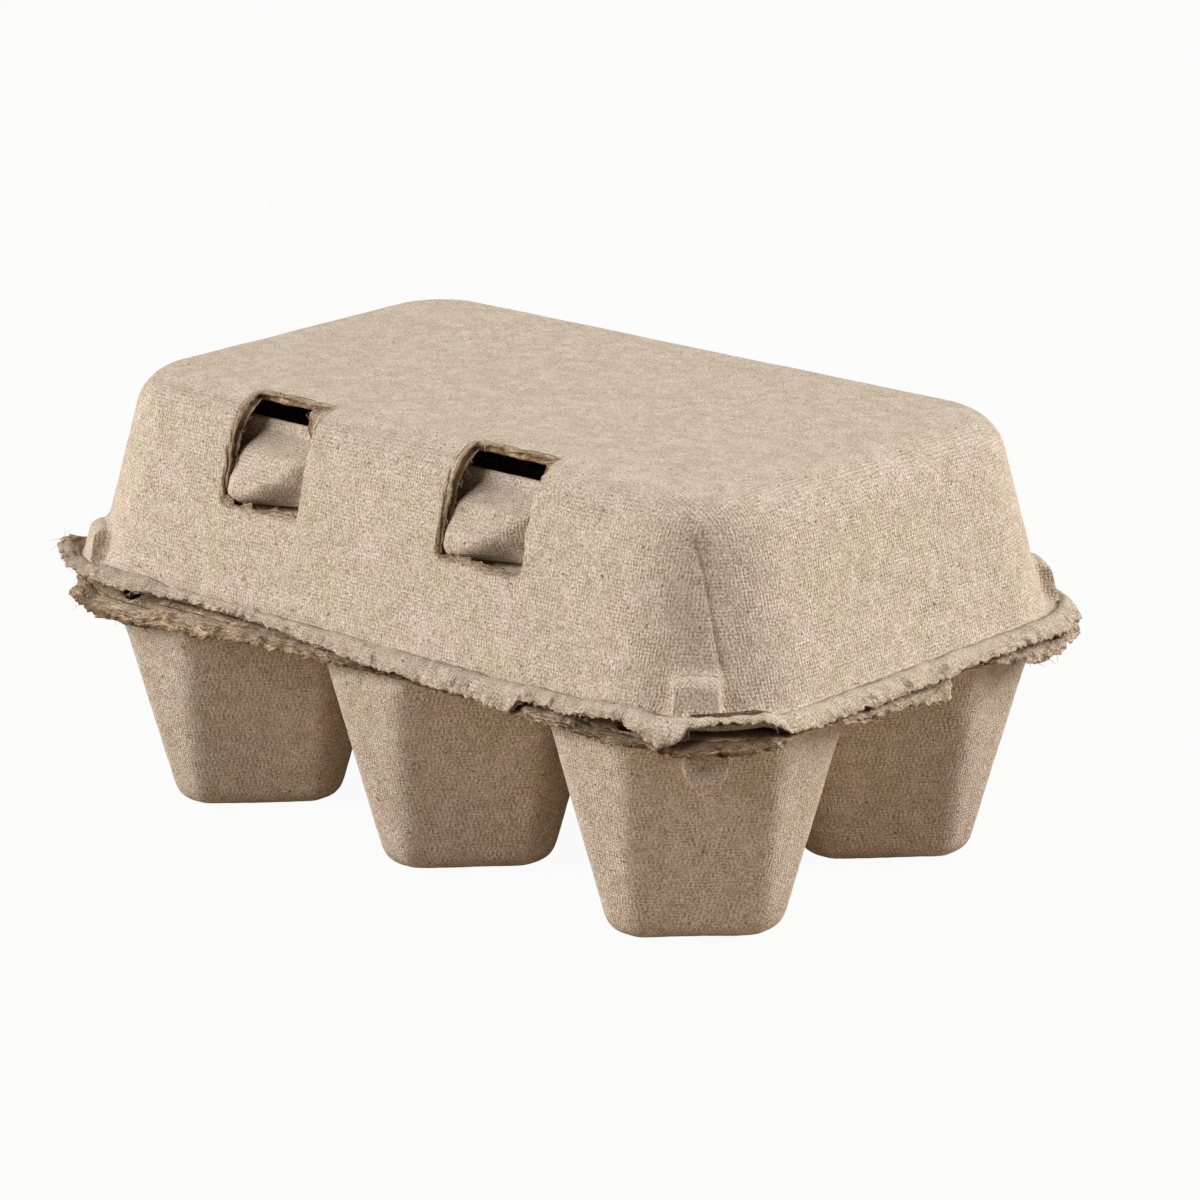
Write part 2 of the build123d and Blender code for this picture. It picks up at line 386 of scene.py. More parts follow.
# A skin that lies on a flange, starts beside the wall, and bends down or up to the lip
edgeLook = {  # runs of ripples have a size in mm, a share and a step of the seed
    "tear": [(5.0, 1.0, 0)],
    "fringe": [(1.3, 1.0, 9), (0.55, 0.6, 19)],
    "sag": [(7.0, 1.0, 5), (1.6, 0.5, 7)],
    "root": [(9.0, 1.0, 3), (3.2, 0.6, 4), (1.3, 0.4, 6)],
    "crumple": [(2.4, 1.0, 13), (1.1, 0.9, 15)],
    "rootCrumple": 0.3,
    "leastDepth": 0.08,
    "tearDrop": 0.7,
    "cover": 1.5,
    "mostCover": 4.4,
}


def rimSections(look, skin):
    sections = []
    count = round((skin["to"] - skin["from"]) / skin["step"])
    for index in range(count + 1):
        along = skin["from"] + index * skin["step"]
        foot, out = rimFrame(along)
        seed = skin["seed"]
        lipDepth, lipHeight = between(along, look["lips"])
        tear = skin["tear"] * wander(foot, edgeLook["tear"], seed)
        tear += skin["fringe"] * wander(foot, edgeLook["fringe"], seed, abs)
        lipDepth = max(edgeLook["leastDepth"], lipDepth + skin["back"] + tear)
        sag = skin["sag"] * wander(foot, edgeLook["sag"], seed)
        lipHeight = lipHeight + skin["drop"] + sag + edgeLook["tearDrop"] * tear
        rootDepth = skin["root"] + skin["rootWander"] * wander(foot, edgeLook["root"], seed)
        rootDepth = max(min(lipDepth + edgeLook["cover"], edgeLook["mostCover"]), rootDepth)
        rootHeight = skin["rootHeight"] + rimLift(along, rootDepth, look)
        bendDepth = lipDepth + skin["bend"] * (rootDepth - lipDepth)
        bendHeight = skin["rootHeight"] + rimLift(along, bendDepth, look) + skin["crown"]
        section = []
        for step in range(skin["rows"] + 1):
            share = step / skin["rows"]
            rest = 1 - share
            depth = rest * rest * rootDepth + 2 * share * rest * bendDepth + share * share * lipDepth
            height = rest * rest * rootHeight + 2 * share * rest * bendHeight + share * share * lipHeight
            outward = 2 * rest * (rootDepth - bendDepth) + 2 * share * (bendDepth - lipDepth)
            upward = 2 * rest * (bendHeight - rootHeight) + 2 * share * (lipHeight - bendHeight)
            up = (Vector((0, 0, outward)) - out * upward).normalized()
            place = foot - out * depth + Vector((0, 0, height))
            crumple = skin["crumple"] * wander(place, edgeLook["crumple"], seed)
            crumple *= edgeLook["rootCrumple"] + (1 - edgeLook["rootCrumple"]) * share
            section.append((place + up * crumple, up))
        sections.append(section)
    return sections


foldLook = {
    "halfLength": 47.0,
    "margin": 1.0,
    "room": 0.75,
    "bottom": 35.0,
    "top": 39.0,
    "y": 49.55,
    "groove": 0.2,
    "grooveSpread": 0.7,
    "waver": [(3.0, 0.08, 71.0)],
    "rows": 10,
    "bendHalf": 0.6,
    "thick": 0.5,
    "taper": 0.0,
    "tornFrom": 0.99,
    "tornTo": 0.1,
    "stains": [],
    "fresh": [],
    "rootLine": 0.0,
    "pocks": 0.0,
}

trayLook = {
    "grain": 0.58,
    "softenings": 2,
    "triangles": 194000,
    "lumpSize": 9.0,
    "lumpDepth": 0.22,
    "pitSize": 1.7,
    "pitDepth": 0.10,
    "flangeMiddle": 35.85,
    "flangeReach": 5.5,
    "gapeReach": 12.0,
    "wallReach": 5.0,
    "frayReach": 4.6,
    "bodyBack": 1.9,
    "fray": 0.5,
    "tearSize": 2.4,
    "thin": 0.55,
    "wave": 0.3,
    "waveSize": 9.0,
    "follow": 0.8,
    "lipLevel": 35.4,
    "highest": 0.0,
    "tornTop": 4.4,
    "footAcross": 16.2,
    "footWall": 70.3,
    "footTilt": 0.32,
    "footHalf": 4.2,
    "footDepth": 5.0,
    "footTop": 35.5,
    "footHinge": 34.5,
    "footBlend": 2.0,
    "gapes": [  # from and to along the rim, fades at both ends, and rise in mm
        (-58.0, -46.0, 4.0, 3.0, -1.5),
        (0.0, 33.0, 5.0, 1.0, -0.9),
        (46.0, 57.0, 3.0, 2.0, -0.7),
        (66.0, 80.0, 3.0, 3.0, 0.5),
    ],
    "lips": [  # along the rim, depth inside the outline, and height
        (-176.0, 0.6, 35.3),
        (-100.0, 0.6, 35.2),
        (-90.0, 1.0, 35.3),
        (-80.0, 2.5, 35.3),
        (-72.0, 3.2, 35.2),
        (-66.0, 3.0, 35.0),
        (-64.0, 1.8, 34.6),
        (-62.5, 0.5, 34.2),
        (-58.0, 0.3, 33.5),
        (-52.0, 0.2, 32.6),
        (-46.0, 0.6, 32.8),
        (-42.0, 1.0, 33.4),
        (-35.0, 0.6, 33.4),
        (-28.0, 0.3, 34.2),
        (-20.0, 0.2, 35.0),
        (-10.0, 0.2, 35.4),
        (-3.0, 0.4, 35.4),
        (2.0, 1.2, 35.6),
        (10.0, 2.0, 35.6),
        (30.0, 2.0, 35.4),
        (34.0, 0.8, 34.9),
        (40.0, 0.4, 35.2),
        (50.0, 0.3, 35.4),
        (58.0, 0.8, 35.2),
        (63.0, 0.9, 35.0),
        (67.0, 0.3, 35.2),
        (76.0, 0.3, 35.5),
        (82.0, 0.4, 36.3),
        (86.0, 2.4, 36.4),
        (92.0, 1.6, 36.2),
        (95.0, 0.5, 36.0),
        (100.0, 0.3, 35.3),
        (106.0, 0.3, 35.0),
        (110.0, 0.3, 34.8),
        (114.0, 0.2, 34.2),
        (118.0, 0.3, 33.6),
        (120.0, 0.5, 33.5),
        (121.5, 1.0, 34.1),
        (122.3, 1.8, 35.0),
        (123.5, 2.5, 35.9),
        (127.0, 2.6, 36.2),
        (132.0, 1.2, 36.0),
        (137.0, 0.5, 35.2),
        (143.0, 0.3, 33.9),
        (147.0, 0.3, 34.4),
        (150.0, 0.4, 35.6),
        (158.0, 1.2, 35.0),
        (176.0, 0.9, 35.0),
    ],
    "skins": [
        {
            "from": -186.2,
            "to": 186.2,
            "step": 0.36,
            "rows": 9,
            "seed": 2.0,
            "root": 4.0,
            "rootWander": 0.0,
            "rootHeight": 36.4,
            "bend": 0.27,
            "crown": 0.1,
            "back": 0.0,
            "drop": 0.0,
            "tear": 0.45,
            "fringe": 0.8,
            "sag": 0.4,
            "crumple": 0.62,
            "thick": 0.45,
            "taper": 0.5,
            "tornFrom": -0.6,
            "tornTo": 1.0,
            # painted shade in the gap under the lid's lip, along the front and round the right front corner
            "stains": [(65.0, 79.0, 2.0, 2.0, 0.7), (46.0, 57.0, 3.0, 3.0, 0.35)],
            "fresh": [(84.0, 172.0, 3.0, 3.0, 0.45)],
            "rootLine": 0.0,
            "pocks": 0.6,
        },
        {
            "from": -185.6,
            "to": 185.6,
            "step": 0.36,
            "rows": 7,
            "seed": 31.0,
            "root": 4.0,
            "rootWander": 0.0,
            "rootHeight": 35.8,
            "bend": 0.13,
            "crown": 0.0,
            "back": 0.75,
            "drop": -0.25,
            "tear": 0.6,
            "fringe": 0.9,
            "sag": 0.4,
            "crumple": 0.34,
            "thick": 0.5,
            "taper": 0.4,
            "tornFrom": 0.0,
            "tornTo": 1.0,
            "stains": [(46.0, 79.0, 3.0, 2.0, 0.6)],
            "fresh": [(84.0, 172.0, 3.0, 3.0, 0.45)],
            "rootLine": 0.0,
            "pocks": 0.6,
        },
    ],
}


# The lugs under the flange lean out towards their feet
def workFoot(point, look):
    reach = (abs(point.x) + abs(point.y)) * math.sqrt(0.5)
    across = (abs(point.x) - abs(point.y)) * math.sqrt(0.5) - look["footAcross"]
    wall = look["footWall"]
    beside = abs(across) > look["footHalf"] or point.z > look["footTop"]
    if beside or not wall < reach < wall + look["footDepth"]:
        return Vector()
    lean = look["footTilt"] * max(0.0, look["footHinge"] - point.z) * math.sqrt(0.5)
    lean *= smoothStep(wall, wall + look["footBlend"], reach)
    return Vector((math.copysign(lean, point.x), math.copysign(lean, point.y), 0))


def workTray(point, normal, look):
    place, torn, crackAndShade, ply = workRim(point, look)
    return place + workFoot(point, look) - normal * lumps(point, look), torn, crackAndShade, ply


lidLook = {
    "grain": 0.54,
    "softenings": 2,
    "triangles": 194000,
    "lumpSize": 11.0,
    "lumpDepth": 0.20,
    "pitSize": 1.7,
    "pitDepth": 0.08,
    "flangeMiddle": 38.15,
    "flangeReach": 5.0,
    "gapeReach": 12.0,
    "wallReach": 5.0,
    "frayReach": 4.4,
    "bodyBack": 1.9,
    "fray": 0.5,
    "tearSize": 2.6,
    "thin": 0.55,
    "wave": 0.25,
    "waveSize": 9.0,
    "follow": 0.8,
    "lipLevel": 37.6,
    "highest": 3.0,
    "tornTop": 0.0,
    "gapes": [
        (-58.0, -46.0, 4.0, 3.0, 0.9),
        (48.0, 80.0, 3.0, 3.0, 1.0),
    ],
    "lips": [
        (-176.0, 0.5, 37.5),
        (-100.0, 0.6, 37.5),
        (-82.0, 1.2, 38.2),
        (-77.0, 0.5, 40.1),
        (-73.0, 0.1, 40.6),
        (-69.0, 0.3, 39.7),
        (-62.0, 0.5, 38.8),
        (-55.0, 0.4, 38.4),
        (-48.0, 0.5, 38.0),
        (-44.0, 1.6, 38.2),
        (-36.0, 2.2, 38.3),
        (-24.0, 2.0, 38.0),
        (-16.0, 1.6, 37.9),
        (-10.0, 1.2, 37.6),
        (-4.0, 0.7, 37.4),
        (2.0, 0.3, 36.9),
        (12.0, 0.2, 36.6),
        (22.0, 0.2, 36.2),
        (30.0, 0.2, 35.7),
        (33.3, 0.2, 35.7),
        (33.9, 1.4, 37.6),
        (38.0, 1.2, 37.6),
        (44.0, 0.9, 37.7),
        (47.0, 0.8, 38.2),
        (52.0, 0.8, 38.4),
        (57.0, 0.7, 38.3),
        (58.6, 0.4, 37.8),
        (60.0, 0.1, 36.7),
        (62.0, 0.1, 36.4),
        (63.6, 0.2, 36.9),
        (65.0, 0.5, 37.7),
        (66.0, 1.6, 39.1),
        (72.0, 1.8, 39.5),
        (78.0, 1.7, 39.6),
        (81.0, 1.0, 38.9),
        (83.0, 0.5, 37.4),
        (96.0, 0.4, 36.9),
        (112.0, 0.4, 36.9),
        (118.0, 0.5, 36.8),
        (124.0, 0.8, 37.2),
        (130.0, 0.5, 37.3),
        (146.0, 0.5, 37.2),
        (152.0, 1.0, 36.9),
        (158.0, 1.2, 36.8),
        (168.0, 1.2, 36.8),
        (176.0, 0.8, 37.2),
    ],
    "skins": [
        {
            "from": -186.2,
            "to": 186.2,
            "step": 0.36,
            "rows": 9,
            "seed": 7.0,
            "root": 4.7,
            "rootWander": 0.4,
            "rootHeight": 39.2,
            "bend": 0.38,
            "crown": 0.15,
            "back": 0.0,
            "drop": 0.0,
            "tear": 0.45,
            "fringe": 0.75,
            "sag": 0.4,
            "crumple": 0.42,
            "thick": 0.5,
            "taper": 0.5,
            "tornFrom": 0.55,
            "tornTo": 0.38,
            "stains": [],
            "fresh": [],
            "rootLine": 0.42,
            "pocks": 0.45,
        },
        {
            "from": -185.6,
            "to": 185.6,
            "step": 0.36,
            "rows": 7,
            "seed": 47.0,
            "root": 4.0,
            "rootWander": 0.0,
            "rootHeight": 38.2,
            "bend": 0.13,
            "crown": 0.0,
            "back": 0.7,
            "drop": -0.25,
            "tear": 0.6,
            "fringe": 0.9,
            "sag": 0.4,
            "crumple": 0.3,
            "thick": 0.45,
            "taper": 0.4,
            "tornFrom": 0.2,
            "tornTo": 0.75,
            "stains": [],
            "fresh": [],
            "rootLine": 0.0,
            "pocks": 0.6,
        },
    ],
    "lugTilt": 0.27,
    "lugHalf": 4.5,
    "lugFoot": 38.0,
    "lugHinge": 39.5,
    "lugSoft": 0.9,
    "lugHead": 1.6,
    "lugBlend": (0.3, 2.4),
    "shoulderNear": (-33.0, 66.0),
    # painted shade line along the shoulder's crease: its height, ripples, spread and stretch
    "shoulderCrack": 68.3,
    "shoulderWander": [(9.0, 0.4, 61.0)],
    "shoulderSpread": 0.3,
    "shoulderStretch": [(-58.0, 10.0, 8.0, 20.0, 0.12)],
    "creaseDepth": 0.22,
    "creaseTint": 0.24,
    "creaseRidge": (0.9, 0.5),  # place beside the line, and spread
    "creaseGroove": (0.1, 0.45),
    "grooveShare": 1.2,
    "creaseLine": (0.1, 0.35),
    "creaseNear": (50.0, -30.0),
    "creaseFoot": (43.5, 47.0),
    "creaseHead": (61.0, 66.5),
    "cornerCrease": [  # height, and the place in plan of the fold in the right front corner
        (44.4, 64.5, -37.2),
        (46.7, 63.5, -37.4),
        (49.5, 62.6, -37.2),
        (52.8, 61.7, -37.0),
        (57.9, 60.1, -36.7),
        (59.7, 59.5, -36.5),
        (64.3, 57.6, -36.5),
        (66.5, 56.0, -36.2),
    ],
}


# The latch windows: torn at head and sill, and showing the plies of the pulp along the jambs
windowLook = {
    "margin": 1.6,
    "reach": 1.4,
    "fray": 0.6,
    "plyRun": (0.3, 1.6, 0.35),
    "plies": [(1.3, 1.0, 31.0)],
    "crumbRun": 0.6,
    "sillCrumbs": [(2.2, 1.0, 37.0), (0.9, 0.5, 39.0)],
    "headCrumbs": [(2.6, 1.0, 43.0), (0.9, 0.6, 47.0)],
    "jambTorn": (0.7, 0.1),
    "jambFacing": (0.1, 0.4),
    "edgeTorn": (0.5, 0.9),
    "edgeFacing": (0.3, 0.7),
    "sillTorn": 0.6,
    "plyShare": 0.5,
}


def workWindow(point, normal, look):
    if point.y > carton["headLine"] + look["margin"] or point.z < carton["sill"] - look["margin"]:
        return Vector(), 0.0
    share = min(1.0, (point.z - carton["sill"]) / (carton["height"] - carton["sill"]))
    half = carton["windowHalf"] + share * (carton["headHalf"] - carton["windowHalf"])
    move, torn = Vector(), 0.0
    for x in carton["windowX"]:
        side = point.x - x
        if abs(side) > half + look["reach"]:
            continue
        jamb = 1 - smoothStep(0.0, look["reach"], abs(abs(side) - half))
        sill = 1 - smoothStep(0.0, look["reach"], abs(point.z - carton["sill"]))
        head = 1 - smoothStep(0.0, look["reach"], abs(point.y - carton["headLine"]))
        runX, runY, runZ = look["plyRun"]
        plies = Vector((point.x * runX, point.y * runY, point.z * runZ))
        crumbs = Vector((point.x, point.y * look["crumbRun"], 0))
        move.x += jamb * look["fray"] * wander(plies, look["plies"])
        move.z += sill * look["fray"] * wander(crumbs, look["sillCrumbs"])
        move.y += head * look["fray"] * wander(crumbs, look["headCrumbs"])
        jamb = smoothStep(*look["jambTorn"], abs(side) - half)
        jamb *= smoothStep(*look["jambFacing"], abs(normal.x))
        head = smoothStep(*look["edgeTorn"], head) * smoothStep(*look["edgeFacing"], abs(normal.y))
        sill = smoothStep(*look["edgeTorn"], sill) * smoothStep(*look["edgeFacing"], abs(normal.z))
        torn = max(torn, jamb, head, look["sillTorn"] * sill)
    return move, torn


def wallDepth(point):  # how far a point lies inside the outer face of the lid's front
    lean, curve = carton["wallLean"], carton["shoulder"]
    back, rise = point.y + carton["wallFoot"], point.z - carton["rimHeight"]
    inside = back * math.cos(lean) - rise * math.sin(lean)
    return min(inside, carton["height"] - point.z) if point.z < carton["height"] - curve else inside / 2


# The lugs lean back with the wall and have soft heads
def workLug(point, look):
    facing = carton["lugFacing"]
    outX, outY = math.sin(facing), math.cos(facing)
    aside, ahead = abs(point.x) - carton["lugX"], abs(point.y) - carton["lugY"]
    reach = aside * outX + ahead * outY
    across = aside * outY - ahead * outX
    top = carton["lugTop"]
    if abs(across) > look["lugHalf"] or reach < 0 or not look["lugFoot"] < point.z < top + 1:
        return Vector()
    lean = look["lugTilt"] * (point.z - look["lugHinge"])
    lean += look["lugSoft"] * smoothStep(top - look["lugHead"], top, point.z)
    lean *= smoothStep(*look["lugBlend"], reach)
    return Vector((-math.copysign(outX, point.x), -math.copysign(outY, point.y), 0)) * max(0.0, lean)


# The fold that runs down the right front corner to the lug, as a low ridge with a groove beside it, and a
# line of painted shade darkening the groove
def workCorner(point, normal, look):
    cornerX, cornerY = look["creaseNear"]
    inHeight = look["creaseFoot"][0] < point.z < look["creaseHead"][1]
    if point.x < cornerX or point.y > cornerY or not inHeight:
        return Vector(), 0.0
    x, y = between(point.z, look["cornerCrease"])
    aside = ((point.x - x) + (point.y - y)) * math.sqrt(0.5)
    deep = smoothStep(*look["creaseFoot"], point.z) * (1 - smoothStep(*look["creaseHead"], point.z))
    ridge, groove, line = [
        bell(aside + look[kind][0], look[kind][1]) for kind in ("creaseRidge", "creaseGroove", "creaseLine")
    ]
    rise = look["creaseDepth"] * deep * (ridge - look["grooveShare"] * groove)
    # painted shade along the groove of the fold
    return normal * rise, look["creaseTint"] * deep * line


def workLid(point, normal, look):
    place, torn, crackAndShade, ply = workRim(point, look)
    move, cut = workWindow(point, normal, windowLook)
    if cut > torn:
        torn, ply = cut, windowLook["plyShare"] * wallDepth(point)
    shoulderY, shoulderZ = look["shoulderNear"]
    if point.y < shoulderY and point.z > shoulderZ:  # painted shade: a faint dark line along the crease at the front of the shoulder
        line = look["shoulderCrack"] + wander(point, look["shoulderWander"])
        crackAndShade = bell(point.z - line, look["shoulderSpread"]) * patches(point.x, look["shoulderStretch"])
    fold, line = workCorner(point, normal, look)
    crackAndShade = max(crackAndShade, line)
    return place + move + fold + workLug(point, look) - normal * lumps(point, look), torn, crackAndShade, ply


# Torn skin round the latch windows: lifted lips on the jambs, ragged heads, and crumbs along the sills
cutLook = {
    "thick": 0.4,
    "taper": 0.6,
    "tornFrom": 0.0,
    "tornTo": 1.0,
    "stains": [],
    "fresh": [],
    "rootLine": 0.0,
    "pocks": 0.5,
    "step": 0.3,
    "rows": 4,
    "root": 0.8,  # how far a tear starts behind the cut, and how deep inside the wall
    "sink": 0.5,
    "jambReach": [(1.1, 0.35, 0.0)],
    "jambBow": [(3.0, 0.2, 0.0)],
    "jambLevel": [(2.6, 0.25, 9.0)],
    "sillReach": [(0.8, 0.45, 3.0)],
    "sillSink": 0.25,
    "headReach": [(1.2, 0.5, 5.0), (0.5, 0.3, 9.0)],
    "headRoot": 1.8,
    "headDrop": (0.8, 0.45, 0.2),
}
jambTears = [  # window, side, and then climb, reach over the edge and level against the wall's face
    (0, -1, [(0.2, 0.3, -0.9), (4.0, 0.5, -0.6), (9.0, 0.5, -0.5), (14.0, 0.8, -0.2), (20.0, 0.7, -0.2)]),
    (0, -1, [(0.2, 0.6, -1.6), (6.0, 0.9, -1.3), (12.0, 1.3, -1.2), (16.0, 1.5, -1.2), (20.0, 1.0, -1.0)]),
    (1, -1, [(0.2, 0.4, -0.9), (5.0, 0.4, -0.6), (10.0, 0.7, -0.3), (14.0, 0.9, -0.1), (20.0, 0.6, -0.2)]),
    (1, -1, [(0.2, 0.7, -1.6), (6.0, 0.8, -1.4), (12.0, 1.2, -1.1), (16.0, 1.5, -1.1), (20.0, 1.0, -1.0)]),
    (0, 1, [(13.0, 0.0, -0.6), (14.5, 1.4, -0.4), (16.0, 2.2, -0.3), (18.0, 3.2, -0.3), (20.0, 0.6, -0.3)]),
    (1, 1, [(16.5, 0.0, -0.4), (18.5, 0.7, -0.3), (20.0, 0.4, -0.3)]),
]
sillTears = [  # window, and then offset from its middle and reach up from the sill
    (0, [
        (-8.6, 0.3), (-7.6, 1.3), (-6.0, 1.2), (-5.2, 0.2), (-4.2, 0.0), (-3.4, 0.8), (-1.8, 1.0),
        (-1.0, 0.1), (1.4, 0.0), (2.6, 0.9), (4.0, 1.3), (6.5, 1.2), (8.4, 0.6),
    ]),
    (1, [(-8.6, 0.4), (-6.0, 0.9), (-3.0, 1.0), (0.0, 0.8), (2.0, 0.5), (4.0, 0.7), (6.0, 0.5), (8.4, 0.3)]),
]
headTears = [  # window, and then offset from its middle and reach forward from the head
    (0, [(-8.8, 0.4), (-6.5, 0.9), (-3.0, 0.2), (1.0, 0.5), (4.0, 0.9), (6.0, 1.5), (8.8, 0.3)]),
    (1, [(-8.8, 0.5), (-6.0, 1.1), (-5.0, 0.3), (-1.0, 0.6), (3.0, 0.2), (6.0, 0.5), (8.8, 0.2)]),
]


def jambSections(x, side, points):
    sections = []
    count = round((points[-1][0] - points[0][0]) / cutLook["step"])
    for index in range(count + 1):
        climb = points[0][0] + index * cutLook["step"]
        reach, level = between(climb, points)
        wall, out = wallFrame(climb)
        reach += wander(wall, cutLook["jambReach"], x + level) + wander(wall, cutLook["jambBow"], x)
        reach = max(0.0, reach)
        level += wander(wall, cutLook["jambLevel"], x)
        section = []
        for step in range(cutLook["rows"] + 1):
            share = step / cutLook["rows"]
            edge = x + side * (carton["windowHalf"] + cutLook["root"] * (1 - share) - reach * share)
            sink = level - cutLook["sink"] * (1 - share)
            section.append((Vector((edge, wall.y, wall.z)) + out * sink, out))
        sections.append(section)
    return sections


def sillSections(x, points):
    sections = []
    count = round((points[-1][0] - points[0][0]) / cutLook["step"])
    for index in range(count + 1):
        aside = points[0][0] + index * cutLook["step"]
        reach = between(aside, points)[0]
        reach += wander(Vector((aside, x, 0)), cutLook["sillReach"])
        section = []
        for step in range(cutLook["rows"] + 1):
            climb = (cutLook["root"] + reach) * step / cutLook["rows"] - cutLook["root"]
            wall, out = wallFrame(climb)
            sink = cutLook["sink"] + cutLook["sillSink"] * max(0.0, climb)
            section.append((wall + Vector((x + aside, 0, 0)) - out * sink, out))
        sections.append(section)
    return sections


def headSections(x, points):
    sections = []
    count = round((points[-1][0] - points[0][0]) / cutLook["step"])
    up = Vector((0, 0, 1))
    for index in range(count + 1):
        aside = points[0][0] + index * cutLook["step"]
        reach = between(aside, points)[0]
        reach += wander(Vector((aside, x, 0)), cutLook["headReach"])
        section = []
        for step in range(cutLook["rows"] + 1):
            share = step / cutLook["rows"]
            y = carton["headLine"] + cutLook["headRoot"] - (cutLook["headRoot"] + reach) * share
            deep, rise, curl = cutLook["headDrop"]
            drop = deep - rise * min(1.0, 2 * share) + curl * share * share
            section.append((Vector((x + aside, y, carton["height"] - drop)), up))
        sections.append(section)
    return sections


flapLook = {
    "grain": 0.40,
    "softenings": 2,
    "triangles": 120000,
    "lumpSize": 7.0,
    "lumpDepth": 0.15,
    "pitSize": 1.5,
    "pitDepth": 0.08,
    "buttonHalf": 7.65,
    "buttonMiddle": 58.5,
    "buttonRise": 5.0,
    "ridge": 4.2,
    "ridgeRun": (0.0, 1.4),
    "proudFrom": (-32.0, -38.0),
    "widest": 1.1,  # of the button's half width
    "below": 1.0,
    "swell": 0.6,
}


def workFlap(point, normal, look):
    place = point.copy()
    for x in carton["windowX"]:
        side = (point.x - x) / look["buttonHalf"]
        if abs(side) < look["widest"] and point.z > carton["sill"] - look["below"]:
            slope = side - (point.z - look["buttonMiddle"]) / look["buttonRise"]
            proud = smoothStep(*look["proudFrom"], point.y)
            place.y += look["ridge"] * smoothStep(*look["ridgeRun"], slope) * proud
            place += Vector((normal.x, 0, min(0.0, normal.z))) * look["swell"] * proud
    return place - normal * lumps(point, look), 0.0, 0.0, 0.0


# Shader maths: a wrapped socket takes part in plain expressions, and each one adds its Math nodes
class Wire:
    def __init__(self, finish, socket):
        self.finish = finish
        self.socket = socket

    def math(self, operation, first, second):
        return self.finish.add("ShaderNodeMath", {"operation": operation}, {0: first, 1: second})

    def __add__(self, other):
        return self.math("ADD", self, other)

    def __radd__(self, other):
        return self.math("ADD", other, self)

    def __sub__(self, other):
        return self.math("SUBTRACT", self, other)

    def __rsub__(self, other):
        return self.math("SUBTRACT", other, self)

    def __mul__(self, other):
        return self.math("MULTIPLY", self, other)

    def __rmul__(self, other):
        return self.math("MULTIPLY", other, self)

    def __pow__(self, other):
        return self.math("POWER", self, other)

    def sine(self):
        return self.math("SINE", self, 0.0)

    def size(self):
        return self.math("ABSOLUTE", self, 0.0)

    def band(self, low, high):  # 0 below the low value, 1 above the high one
        return self.finish.add(
            "ShaderNodeMapRange",
            {"interpolation_type": "SMOOTHSTEP", "clamp": True},
            {"Value": self, "From Min": low, "From Max": high},
        )


class Finish:
    def __init__(self, name):
        self.material = bpy.data.materials.new(name)
        self.material.use_nodes = True
        self.tree = self.material.node_tree
        self.tree.nodes.clear()

    def add(self, kind, settings, sockets, output=0):
        node = self.tree.nodes.new(kind)
        for key, value in settings.items():
            setattr(node, key, value)
        for key, value in sockets.items():
            socket = node.inputs[key]
            if isinstance(value, Wire):
                self.tree.links.new(value.socket, socket)
            else:
                socket.default_value = value
        return Wire(self, node.outputs[output])

    def noise(self, place, scale, detail=2.0, roughness=0.5, stretch=None):
        if stretch:
            place = self.add("ShaderNodeVectorMath", {"operation": "MULTIPLY"}, {0: place, 1: stretch})
        sockets = {"Vector": place, "Scale": scale, "Detail": detail, "Roughness": roughness}
        return self.add("ShaderNodeTexNoise", {}, sockets)

    def parts(self, vector):  # the three numbers of a vector
        return self.add("ShaderNodeSeparateXYZ", {}, {0: vector}).socket.node.outputs

    def attribute(self, kind):
        return self.add("ShaderNodeAttribute", {"attribute_name": kind}, {}, 2)

    def mix(self, factor, first, second):
        kind = {"data_type": "RGBA", "clamp_factor": True}
        return self.add("ShaderNodeMix", kind, {"Factor": factor, 6: first, 7: second}, 2)

    def close(self, surface):
        output = self.tree.nodes.new("ShaderNodeOutputMaterial")
        self.tree.links.new(surface.socket, output.inputs["Surface"])
        return self.material


